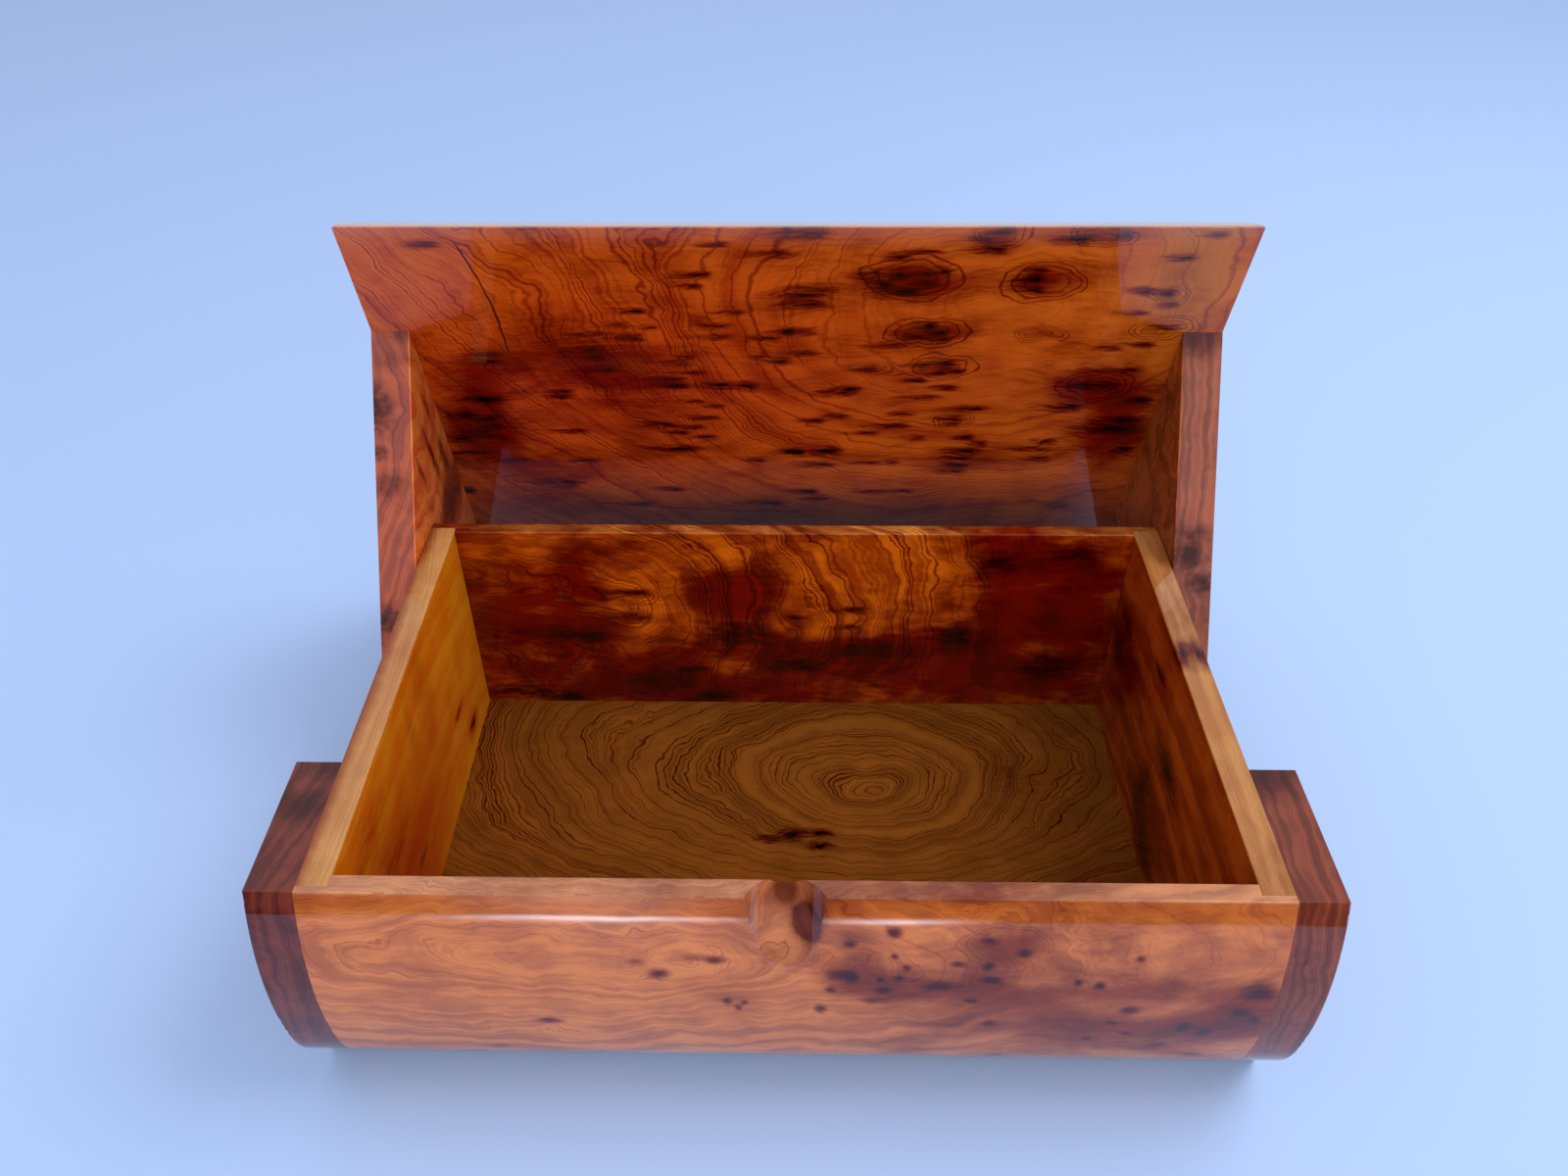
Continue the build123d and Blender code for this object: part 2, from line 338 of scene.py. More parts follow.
def ring_count(n, place, wood):
    """How many growth rings lie between the crown and each point, a number that changes smoothly, and the
    place that it was measured at, which is bent as the grain is."""
    for size, amount in wood["bends"]:
        place = strayed(n, place, place, size, (amount,) * 3)
    u, v, wide, high = wood["crown"]
    local = n.vector("MULTIPLY_ADD", place, (1 / wide, 1 / high, 0.0), (-u / wide, -v / high, 0.0))
    count, power = wood["rings"]
    rings = n.math("MULTIPLY", n.math("POWER", n.vector("LENGTH", local, output=1), power), count)
    return n.math("ADD", rings, n.vector("DOT_PRODUCT", place, wood["slope"], output=1)), place


def ring_lines(n, rings, crowd, width):
    """Thin lines that crowd and spread like lean and fat years, each with a darkness of its own. crowd is
    how many there are to one ring, and width the share of the wood that they cover."""
    years = n.math("MULTIPLY_ADD", n.noise(rings, YEAR_SIZE, dimensions="1D"), YEAR_DRIFT, rings)
    years = n.math("MULTIPLY", years, crowd)
    chance = n.add("ShaderNodeTexWhiteNoise", {"W": n.math("ROUND", years)}, noise_dimensions="1D")
    line = n.fall(n.math("PINGPONG", years, 0.5), LINE_CORE * width, LINE_EDGE * width)
    return n.math("MULTIPLY", line, n.step(chance, FAINT_YEAR, 1.0, FAINT_YEAR, 1.0))


print("growth rings ready")

# %% [markdown]
# Where eyes stand in a cluster, a few closed lines run round all of them, one inside the other. They could
# be drawn one by one, but the level lines of a hill over the cluster close by themselves. The logarithm
# turns the hill back into a distance from its middle, which keeps the lines apart evenly.

# %% Loops round the clusters
HILL_FLOOR = 0.001
LOOP_POWER = 1.6
LOOP_COUNT = 3.0
LOOP_LINE = (0.06, 0.22)
LOOP_END = (1.05, 1.12)
LOOP_FADE = (0.2, 0.9, 0.3, 1.0)


def loop_lines(n, place, ovals):
    """Closed thin lines round a cluster of eyes, nested like the level lines of a hill, and the hill."""
    total = n.hills(place, ovals)
    away = n.math("SQRT", n.math("LOGARITHM", n.math("MAXIMUM", total, HILL_FLOOR), HILL_BASE))
    nested = n.math("MULTIPLY", n.math("POWER", away, LOOP_POWER), LOOP_COUNT)
    line = n.fall(n.math("PINGPONG", nested, 0.5), *LOOP_LINE)
    line = n.math("MULTIPLY", line, n.fall(away, *LOOP_END))
    return n.math("MULTIPLY", line, n.step(away, *LOOP_FADE)), total


def wood_lines(n, wood, rings, lively, loops):
    """How dark the growth lines and the loops make each point."""
    crowd, width, depth = wood["lines"]
    lines = n.math("MULTIPLY", ring_lines(n, rings, crowd, width), lively)
    return n.math("MULTIPLY", n.math("MAXIMUM", lines, loops), depth)


print("loops ready")

# %% [markdown]
# Two hair cracks run through the lid. A crack is a straight line that bows like a sine between its ends, so
# it needs only two points, a bow and a width. Its ragged sides come from the place that it is given.

# %% Hair cracks
CRACK_TINT = "6c2c1c"
CRACK_END = (0.44, 0.5)


def crack_line(n, place, crack):
    """A hair crack from one point to another that bows sideways between them."""
    start, end, bow, width = Vector(crack[:2]), Vector(crack[2:4]), crack[4], crack[5]
    run = end - start
    along = n.vector("DOT_PRODUCT", place, (*(run / run.length_squared), 0.0), output=1)
    along = n.math("SUBTRACT", along, run.dot(start) / run.length_squared)
    side = Vector((-run.y, run.x)).normalized()
    across = n.vector("DOT_PRODUCT", place, (*side, 0.0), output=1)
    across = n.math("SUBTRACT", across, side.dot(start))
    bowed = n.math("MULTIPLY", n.math("SINE", n.math("MULTIPLY", along, pi)), bow)
    thin = n.fall(n.math("ABSOLUTE", n.math("SUBTRACT", across, bowed)), 0.5 * width, width)
    from_middle = n.math("ABSOLUTE", n.math("SUBTRACT", along, 0.5))
    return n.math("MULTIPLY", thin, n.fall(from_middle, *CRACK_END))


def crack_lines(n, place, cracks):
    """All the cracks of a board."""
    total = 0.0
    for crack in cracks:
        total = n.math("MAXIMUM", total, crack_line(n, place, crack))
    return total


print("cracks ready")

# %% [markdown]
# Between the lines the wood has a finer life: bands that follow the rings, fibres that run with the bent
# grain, and soft clouds. One noise can't be all three, so each is a noise of its own, stretched as it
# needs, and their sum chooses between the light and the deep wood.

# %% Bands and fibres
BAND_SHARE = 0.45
GRAIN_SHARE = 0.2
CLOUD_SIZE = 16.0
CLOUD_SHARE = 0.35
FIGURE_STEP = (0.4, 0.6)


def wood_figure(n, wood, place, bent, rings, lively):
    """How much of the deeper wood tone each point takes, from 0 to 1."""
    bands = n.math("SUBTRACT", n.noise(rings, wood["band"], ROUGHEST, dimensions="1D"), 0.5)
    bands = n.math("MULTIPLY_ADD", bands, lively, 0.5)
    fibre = n.noise(n.vector("MULTIPLY", bent, wood["fibre"]), 1.0, ROUGHEST)
    clouds = n.math("MULTIPLY", n.noise(place, CLOUD_SIZE, ROUGH), CLOUD_SHARE)
    figure = n.math("MULTIPLY_ADD", fibre, wood.get("grain", GRAIN_SHARE), clouds)
    return n.step(n.math("MULTIPLY_ADD", bands, BAND_SHARE, figure), *FIGURE_STEP)


print("bands and fibres ready")

# %% [markdown]
# Red and dark stains lie over the figure where sap has gathered. Each is a soft hill, placed one by one,
# since noise alone would put them anywhere, and streaks along the grain fray their rims. Stain darkens wood
# and never hides it, so its colour is multiplied in.

# %% Stains
# A few hills on the back wall and the left wall are painted shade and painted light, drawn the same way as
# the stains.
BLOTCH_SIZE = 14.0
BLOTCH_GAIN = 1.4
BLOTCH_BASE = -0.7
STAIN_FRAY = 0.45
OVAL_STAIN = 0.35


def wood_stain_and_shading(n, wood, near, bent, frayed, ovals):
    """How stained each point is, painted shade and light included where a board lists them: red from 0 to
    1, and darker from 1 to 2.
    """
    blotches = n.noise(n.vector("MULTIPLY", bent, wood["blotch"]), BLOTCH_SIZE, ROUGHEST)
    stain = n.math("MULTIPLY_ADD", blotches, BLOTCH_GAIN, BLOTCH_BASE + wood["redness"])
    stain = n.hills(near, wood["stains_and_shading"], stain)
    stain = n.math("MULTIPLY_ADD", frayed, STAIN_FRAY * wood["feather"], stain)
    return n.math("MULTIPLY_ADD", ovals, OVAL_STAIN, stain)


def tinted(n, colour, share, tint):
    """colour, darkened towards its product with tint where share is high."""
    inputs = {0: share, 6: colour, 7: tint}
    return n.add("ShaderNodeMix", inputs, 2, data_type="RGBA", blend_type="MULTIPLY")


print("stains ready")

# %% [markdown]
# An eye is a bud that never grew out: a dark core in redder wood that fades along the grain. A dot with a
# hard rim would look printed on. So the top of an eye's hill is its core, and a low power of the same hill,
# which falls off slowly, is its halo.

# %% Eyes
HALO_POWER = 0.3


def eye_marks(n, wood, eyes, frayed):
    """The core of each eye and its halo, both frayed along the grain."""
    ragged_rim = n.math("MULTIPLY_ADD", frayed, wood["feather"], 1.0)
    core = n.math("MULTIPLY", eyes, ragged_rim)
    halo = n.math("MULTIPLY", n.math("POWER", eyes, wood.get("halo", HALO_POWER)), ragged_rim)
    return core, halo


print("eyes ready")

# %% [markdown]
# A sawn or carved face takes the varnish in another tone than the broad side. One material per face would
# leave a hard seam at each rounded edge, so one material blends them: a board may have a second pair of
# tones on one face and in the finger scoop, whose cylinder is found again by the distance from its axis.
# The lid's free edge is painted pale grey over both, a painted reflection on its rounded varnish, as a long
# hill over that edge.

# %% Other faces
# painted shade over the whole scoop
HOLLOW_SHADE = "eaccc0"
HOLLOW_EDGE = (0.05, 0.3)


def scooped(n, place, hollow):
    """1 on the wall of a cylindrical scoop that leans back by so many degrees, and 0 outside it."""
    start, lean, radius = hollow
    turn = (0.0, cos(radians(lean)), sin(radians(lean)))
    off_axis = n.vector("CROSS_PRODUCT", n.vector("SUBTRACT", place, start), turn)
    off_axis = n.vector("LENGTH", off_axis, output=1)
    return n.fall(off_axis, radius + HOLLOW_EDGE[0], radius + HOLLOW_EDGE[1])


def other_faces(n, wood, place, marked):
    """The marked wood colour, in the tones of whichever face a point lies on."""
    light, deep = wood["colours"][:2]
    colour = marked(linear(light), linear(deep))
    if "hollow" in wood:
        in_hollow = scooped(n, place, wood["hollow"])
    if "other_face" in wood:
        axis, inside, outside, other_light, other_deep = wood["other_face"]
        on_face = n.step(n.split(place)[axis], inside, outside)
        if "hollow" in wood:
            on_face = n.math("MAXIMUM", on_face, in_hollow)
        colour = n.mix(on_face, colour, marked(linear(other_light), linear(other_deep)))
    if "hollow" in wood:
        # the scoop is darkened with painted shade
        colour = tinted(n, colour, in_hollow, linear(HOLLOW_SHADE))
    # painted reflection: the lid's rounded free edge is painted pale grey
    if "edge_reflection_grey" in wood:
        *spot, pale = wood["edge_reflection_grey"]
        colour = n.mix(n.hill(place, spot, 0.0), colour, linear(pale))
    return colour


print("other faces ready")

# %% [markdown]
# The varnish is a thick clear coat over wood that has no shine of its own, so all gloss comes from the
# coat's own sockets. Brushed varnish is never quite flat: a very low bump of a few centimetres sways its
# mirror images and leaves the wood under it alone.

# %% Varnish
GLOSS_COAT = (1.0, 0.03)
WOOD_ROUGHNESS = (0.5, 0.4)
VARNISH_WAVE = 24.0
VARNISH_SWELL = 0.00008


def varnish(n, wood, place, colour, figure):
    """Sets the wood's colour under a clear coat."""
    shader = n.tree.nodes["Principled BSDF"]
    n.tree.links.new(colour, shader.inputs["Base Color"])
    n.tree.links.new(n.step(figure, 0.0, 1.0, *WOOD_ROUGHNESS), shader.inputs["Roughness"])
    shader.inputs["Specular IOR Level"].default_value = 0.0
    waves = {"Height": n.noise(place, VARNISH_WAVE, SMOOTH), "Distance": VARNISH_SWELL, "Strength": 1.0}
    n.tree.links.new(n.add("ShaderNodeBump", waves), shader.inputs["Coat Normal"])
    coat_weight, coat_roughness = wood.get("coat", GLOSS_COAT)
    shader.inputs["Coat Weight"].default_value = coat_weight
    shader.inputs["Coat Roughness"].default_value = coat_roughness


print("varnish ready")

# %% [markdown]
# One recipe makes all the wood, and each board brings its own settings: where its crown, eyes, ovals and
# stains lie, how its lines run, and its tones. A board could have a recipe of its own, but then a better
# line or eye would have to be copied into every one. Places and sizes are in millimetres, so they can be
# read off the board with a ruler.

# %% Wood recipe
EYE_RINGS = 0.6
STREAK_STEP = (0.34, 0.66)
RAGGED_SIZE = 4.0
RAGGED_REACH = 2.2
BULGE_SIZE = 13.0
BULGE_REACH = (13.0, 7.0, 0.0)
RED_STAIN = (0.0, 1.0)
DARK_STAIN = (0.9, 1.9)
EYE_HALO = (0.2, 1.0)
EYE_CORE = (0.7, 1.2)


def wood_material(name, on_lid, plane, wood):
    """Varnished wood with the figure that the settings in wood describe."""
    material = bpy.data.materials.new(name)
    material.use_nodes = True
    n = Nodes(material)
    place = shut_place(n, on_lid, plane)
    near = strayed(n, place, place, RAGGED_SIZE, (wood.get("ragged", RAGGED_REACH),) * 3)
    rings, bent = ring_count(n, place, wood)
    streaks = n.noise(n.vector("MULTIPLY", bent, wood["streak"]), 1.0, ROUGH)
    streaks = n.step(streaks, *STREAK_STEP)
    frayed = n.math("SUBTRACT", streaks, 0.5)

    eyes = n.hills(near, wood["eyes"], tail=wood.get("tail", 1.0))
    lively = n.math("SUBTRACT", 1.0, n.hills(place, wood["calm"]))
    bulged = strayed(n, near, place, BULGE_SIZE, BULGE_REACH, PLAIN)
    loops, ovals = loop_lines(n, bulged, wood["ovals"]) if wood["ovals"] else (0.0, 0.0)
    rings = n.hills(place, wood["hills"], n.math("MULTIPLY_ADD", eyes, EYE_RINGS, rings))

    lines = wood_lines(n, wood, rings, lively, loops)
    cracks = crack_lines(n, near, wood.get("cracks", []))
    figure = wood_figure(n, wood, place, bent, rings, lively)
    stain = wood_stain_and_shading(n, wood, near, bent, frayed, ovals)
    core, halo = eye_marks(n, wood, eyes, frayed)
    line, red, dark = (linear(c) for c in wood["colours"][2:])
    marks = (
        (stain, RED_STAIN, red), (stain, DARK_STAIN, dark), (halo, EYE_HALO, red), (core, EYE_CORE, dark),
    )

    def marked(light, deep):
        """The two tones of the wood with every line, stain, eye, tint and crack on them, painted shade and
        light included.
        """
        colour = tinted(n, n.mix(figure, light, deep), lines, line)
        for value, (low, high), tint in marks:
            colour = tinted(n, colour, n.step(value, low, high), tint)
        for *spot, tint in wood.get("tints_and_shading", []):
            colour = tinted(n, colour, n.hill(near, spot, 0.0), linear(tint))
        return tinted(n, colour, cracks, linear(CRACK_TINT)) if "cracks" in wood else colour

    varnish(n, wood, place, other_faces(n, wood, place, marked), figure)
    return material


print("wood recipe ready")

# %% [markdown]
# Each board starts as a copy of its CAD solid. The copy's loose triangles are merged first, because a bevel
# needs whole faces. A live Bevel modifier would do too, but here each edge is looked at by its angle: sharp
# ones get the small round that sanding and a thick coat leave, which also draws the fine lines between the
# boards, blunt ones stay a plain crease, and the shallow ones of a curve are smooth.

# %% Boards
BEVEL = 0.00025
SHARP = radians(28)
CREASE = radians(10)
SAME_POINT = 1e-6
SAME_PLANE = radians(0.3)


def soften(bm):
    """Merges a solid's triangles into faces and rounds its sharp edges."""
    bmesh.ops.remove_doubles(bm, verts=bm.verts, dist=SAME_POINT)
    bmesh.ops.dissolve_limit(bm, angle_limit=SAME_PLANE, verts=bm.verts, edges=bm.edges)
    angles = {e: e.calc_face_angle() for e in bm.edges if len(e.link_faces) == 2}
    for edge, angle in angles.items():
        edge.smooth = not CREASE < angle <= SHARP
    sharp = [edge for edge, angle in angles.items() if angle > SHARP]
    bmesh.ops.bevel(bm, geom=sharp, offset=BEVEL, affect="EDGES", segments=2, profile=0.5, material=-1,
                    clamp_overlap=True)
    bmesh.ops.triangulate(bm, faces=[f for f in bm.faces if len(f.verts) > 4])
    for face in bm.faces:
        face.smooth = True


def board(node, body, material):
    """A softened copy of a CAD solid that takes its place."""
    mesh = bpy.data.meshes.new(node + "_wood")
    bm = bmesh.new()
    bm.from_mesh(frame["nodes"][node].data)
    soften(bm)
    bm.to_mesh(mesh)
    bm.free()
    mesh.materials.append(material)
    piece = bpy.data.objects.new(node + "_wood", mesh)
    bpy.context.scene.collection.objects.link(piece)
    normals = piece.modifiers.new("flat_faces", "WEIGHTED_NORMAL")
    normals.keep_sharp = True
    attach(piece, body)
    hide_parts(node)
    print(piece.name, len(mesh.polygons), "faces")
    return piece


print("edges get a round of", BEVEL / MM, "mm")

# %% [markdown]
# The settings of a board are a short table:
# - crown is the middle and the half widths of the ring hill, and rings their number and how they crowd.
# - slope tilts the hill, bends are the sizes and reaches of the noises that bend it, hills add to it.
# - lines are how many there are to a ring, how wide and how dark. band is the width of the bands in rings.
# - fibre, streak and blotch stretch their noises, grain is the share of the fibres in the figure.
# - colours are the light wood, the deep wood, the lines, the red stain and the dark stain.
# - eyes, ovals, stains and calm spots are hills, and the tints are hills with a colour of their own. Some
#   of the stains and tints are painted shade and painted light.
# - tail draws the eyes out, ragged, feather and halo shape their rims, and redness stains all of the wood.

# %% [markdown]
# The lid's inner side is the showpiece. Dark eyes are drawn out along the board, in clusters that were read
# off one by one. The left half comes first: its eyes lie between dense growth lines.

# %% Eyes on the lid's left half
LID_EYES_LEFT = [
    (-120, 10, 2.4, 1.4, 1.0), (-110, 63.5, 2.4, 1.4, 1.2), (-109, 60, 2.4, 1.1, 1.0),
    (-72, 58, 3, 1.5, 1.2), (-71, 61.7, 2.1, 1.2, 1.1), (-67, 67.2, 2.4, 1.4, 1.3), (-68, 50, 3, 1.2, 1.1),
    (-60, 46, 2.1, 1.1, 1.0), (-56, 51.5, 2.4, 1.4, 1.1), (-54, 39, 2.4, 1.2, 1.1),
    (-50, 46.5, 1.8, 1.0, 0.9), (-31, 23, 3, 1.4, 1.1), (-34, 27.6, 2.1, 1.3, 1.1),
    (-24, 10, 2.4, 1.1, 1.0), (-3, 14, 3, 1.2, 1.0), (-20, 39.5, 2.4, 1.0, 0.9), (-25, 46, 2.4, 1.3, 1.0),
    (-25, 51, 3, 1.4, 1.0), (-8, 51.5, 2.4, 1.5, 1.1), (-2, 48.5, 1.8, 1.5, 1.1), (-4, 63, 2.4, 1.5, 1.2),
    (-12, 61, 1.8, 1.0, 0.9), (-40, 64, 2.4, 1.3, 1.1), (-38, 61, 1.8, 1.0, 0.9), (-37, 69, 3, 1.0, 0.9),
    (-43, 72.5, 2.4, 1.3, 1.1), (-42, 76, 2.4, 1.2, 1.1), (-26, 75, 1.8, 1.1, 1.0), (-17, 76, 3, 1.8, 1.1),
    (-85, 79, 2.4, 1.2, 1.1), (-86, 82, 2.4, 1.2, 1.1), (-36, 84.5, 2.4, 1.1, 1.0),
    (-28, 87, 1.8, 1.0, 1.0), (-118, 83.5, 3, 1.4, 1.2), (-112, 83.5, 2.4, 1.6, 1.1),
    (-124, 92.5, 2.4, 1.8, 1.4), (-117, 94.7, 2.4, 1.3, 1.2), (-114, 99, 1.8, 1.2, 1.1),
    (-121, 102.5, 2.4, 1.2, 1.1), (-130, 106, 2.4, 1.6, 1.2), (-116, 105, 2.4, 1.0, 1.0),
    (-125, 114.5, 3.6, 1.2, 1.1), (-32, 93.5, 3, 1.1, 1.0), (-47, 97.5, 3, 1.3, 1.1),
    (-37, 99, 2.4, 1.1, 1.0), (-43, 102, 2.4, 1.0, 1.0), (-32, 104.5, 2.4, 1.2, 1.1),
    (-84, 101.5, 3.6, 1.2, 1.1), (-42, 111.5, 4.8, 1.6, 1.2), (0, 113, 2.4, 1.5, 1.2),
    (-13, 118.5, 1.8, 1.3, 1.1), (-109, 119, 3.6, 1.1, 1.0), (-81, 119, 3, 1.1, 1.0),
    (-92, 133, 4.2, 1.4, 1.1), (-91, 136, 2.4, 1.0, 1.0), (-48, 137, 3, 1.2, 1.1), (-62, 147, 3, 1.2, 1.1),
    (-8, 146, 3.6, 1.2, 1.1), (-134, 138.5, 1.8, 1.8, 1.3),
]
print("eyes on the left", len(LID_EYES_LEFT))

# %% [markdown]
# The right half has the larger clusters. Random scatter would be quicker, but the eyes of real burl sit in
# families, and these families are what makes the board look like itself.

# %% Eyes on the lid's right half
LID_EYES_RIGHT = [
    (6, 5, 3.6, 2.2, 1.2), (68, 5, 1.8, 1.3, 1.1), (66, 12, 3, 1.6, 1.2), (62, 8, 1.8, 1.1, 0.9),
    (93, 8, 3, 1.6, 1.2), (107, 6.5, 1.8, 1.2, 1.0), (129, 15.5, 2.4, 1.2, 1.0), (137, 6, 1.8, 1.2, 0.9),
    (45, 13, 3, 1.1, 1.0), (36, 15, 2.4, 1.4, 1.0), (36, 23, 1.8, 1.4, 1.1), (44, 22, 1.8, 1.2, 1.0),
    (50, 21, 2.1, 1.3, 1.0), (47, 26.5, 2.1, 1.4, 1.0), (39, 30, 3, 1.6, 1.2), (31, 27, 1.8, 2.2, 1.0),
    (26, 23, 2.4, 2.5, 0.7), (82, 21, 1.8, 1.0, 1.0), (81, 25, 2.4, 2.0, 1.3), (82, 29, 2.1, 1.2, 1.1),
    (10, 29, 3.6, 1.8, 1.0), (4, 32, 4.2, 1.5, 1.0), (7, 36, 3.6, 1.5, 1.0), (119, 29.5, 1.8, 1.4, 1.1),
    (127, 31, 1.8, 1.8, 1.1), (129, 36, 1.8, 1.1, 1.0), (119, 39.5, 2.4, 1.0, 1.0),
    (132, 46, 2.4, 1.1, 1.0), (5, 48.5, 3, 1.4, 1.0), (48, 46, 1.8, 1.9, 1.3), (52, 49, 1.8, 1.4, 1.1),
    (52, 52, 2.4, 1.1, 1.0), (43, 51, 2.4, 1.2, 0.9), (36, 55, 3, 1.3, 1.0), (5, 59, 3, 1.1, 1.0),
    (114, 56, 2.1, 1.3, 1.0), (125, 54.5, 2.4, 1.2, 1.0), (48, 65, 1.8, 1.3, 1.0), (56, 64, 1.8, 1.7, 1.2),
    (60, 68, 1.8, 1.3, 1.1), (53, 69, 2.4, 1.0, 0.9), (28, 67, 2.4, 1.3, 1.0), (46, 73, 2.4, 1.2, 1.0),
    (58, 76.5, 2.4, 1.4, 1.1), (22, 77.5, 2.4, 1.4, 1.1), (18, 79.7, 3.6, 1.4, 1.2),
    (123, 67.5, 4.2, 1.2, 1.1), (107, 75, 2.4, 1.6, 1.1), (117, 75, 2.4, 1.4, 1.1), (51, 82, 3, 1.2, 1.0),
    (69, 88, 3.6, 1.4, 1.2), (105, 87, 3.6, 2.2, 1.2), (131, 83, 2.4, 2.0, 1.2), (43, 91, 2.4, 1.2, 1.0),
    (18, 92.5, 2.4, 1.2, 1.1), (10, 95, 2.4, 1.2, 1.1), (62, 93.5, 2.4, 1.4, 1.2), (62, 97, 1.8, 1.0, 1.0),
    (40, 98, 3.6, 1.3, 1.0), (128, 94, 3.6, 1.8, 1.4), (126, 99, 4.8, 2.2, 1.4), (29, 102, 3, 1.1, 1.0),
    (49, 105, 2.4, 1.2, 1.0), (68, 104.5, 1.8, 1.2, 1.1), (100, 107, 2.4, 1.5, 1.1),
    (97, 111, 3, 1.2, 1.0), (99, 117, 2.4, 1.3, 1.0), (74, 108, 1.8, 1.6, 1.1), (70, 112.5, 3.6, 1.8, 1.2),
    (67, 117, 3, 1.3, 1.1), (67, 121, 2.4, 1.1, 1.0), (66, 125, 2.4, 1.4, 1.2), (15, 113, 3.6, 2.4, 1.2),
    (3, 114, 1.8, 1.6, 1.2), (131, 111, 1.8, 2.0, 1.3), (32, 120, 2.4, 1.0, 1.0),
    (40, 119.5, 1.8, 1.1, 1.0), (13, 121, 3.6, 1.3, 1.1), (8, 138.5, 2.4, 1.6, 1.2),
    (12, 143, 2.4, 1.4, 1.1), (35, 138.5, 2.4, 1.1, 1.0), (46, 138, 2.4, 1.1, 1.0),
    (113, 147, 2.4, 2.0, 0.9),
]
print("eyes on the right", len(LID_EYES_RIGHT))

# %% [markdown]
# The crown of the lid's rings lies right of the middle, where the wood is calm, and the lines sweep round
# it densely on the left. Closed loops run round the clusters of eyes, and two hair cracks run through the
# left half. The free edge is painted pale grey, a painted reflection on its rounded varnish.

# %% Lid panel
LID_PANEL = {
    "crown": (70, 40, 100, 84), "rings": (16, 1.5), "slope": (0.015, 0.03, 0.2), "grain": 0.12,
    "bends": [(70, 24), (18, 6), (4.5, 1.8)], "blotch": (0.5, 1.2, 0.5),
    "calm": [(85, 45, 80, 75, 0.85)], "hills": [(-150, -40, 70, 70, -22)],
    "fibre": (0.08, 0.6, 0.2), "lines": (1.9, 0.52, 0.85), "band": 2.5,
    "tail": 2.6, "feather": 0.45, "ragged": 1.2, "halo": 0.3,
    "cracks": [(-112, 8, -103, 60, -2.5, 0.5), (-85, 146, 5, 152, 1.5, 0.35)],
    "colours": ("de6818", "ba440e", "9c3420", "984028", "2c1410"),
    "streak": (0.1, 1.0, 0.3), "redness": 0.25,
    # painted reflection: pale grey along the rounded free edge
    "edge_reflection_grey": (0, 3.0, 100.0, 400, 5.0, 3.2, 2.5, "bfb8bd"),
    "tints_and_shading": [
        # The first tint is painted shade towards the hinge, blue grey as a painted reflection of the pale
        # cloth.
        (0, 156, 170, 16, 1.0, "90a8ff"), (-70, 70, 90, 70, 1.0, "f4b8a4"),
        (20, 60, 60, 40, 0.5, "f4d0c0"), (132, 25, 18, 40, 1.0, "daffff"),
    ],
    "eyes": LID_EYES_LEFT + LID_EYES_RIGHT,
    "ovals": [
        (40, 24, 17, 10, 1), (84, 26, 14, 8, 1), (47, 49, 15, 7, 1), (54, 66, 13, 6, 1), (87, 50, 9, 4, 1),
        (111, 75, 13, 8, 1), (62, 95, 9, 4, 1), (130, 46, 12, 5, 1), (68, 6, 10, 5, 1), (98, 6, 10, 5, 1),
        (28, 67, 8, 3, 1), (127, 31, 7, 4, 1),
    ],
    "stains_and_shading": [
        (-85, 62, 34, 16, 0.8), (-120, 95, 14, 22, 1.2), (-60, 95, 16, 24, 0.4), (-105, 130, 30, 20, 0.4),
        (-30, 76, 24, 4, 0.5), (-33, 44, 5, 5, 0.6), (-42, 24, 10, 6, 0.4), (124, 95, 14, 24, 1.0),
        (108, 74, 16, 10, 0.4), (75, 116, 14, 10, 0.4), (-140, 20, 30, 20, -0.6), (138, 25, 20, 24, -0.8),
        (38, 25, 16, 8, 0.5), (82, 26, 8, 7, 0.5), (50, 49, 12, 6, 0.3), (4, 32, 12, 7, 0.5),
    ],
}
board("lid_panel", "lid", wood_material("lid_burl", True, "flat", LID_PANEL))
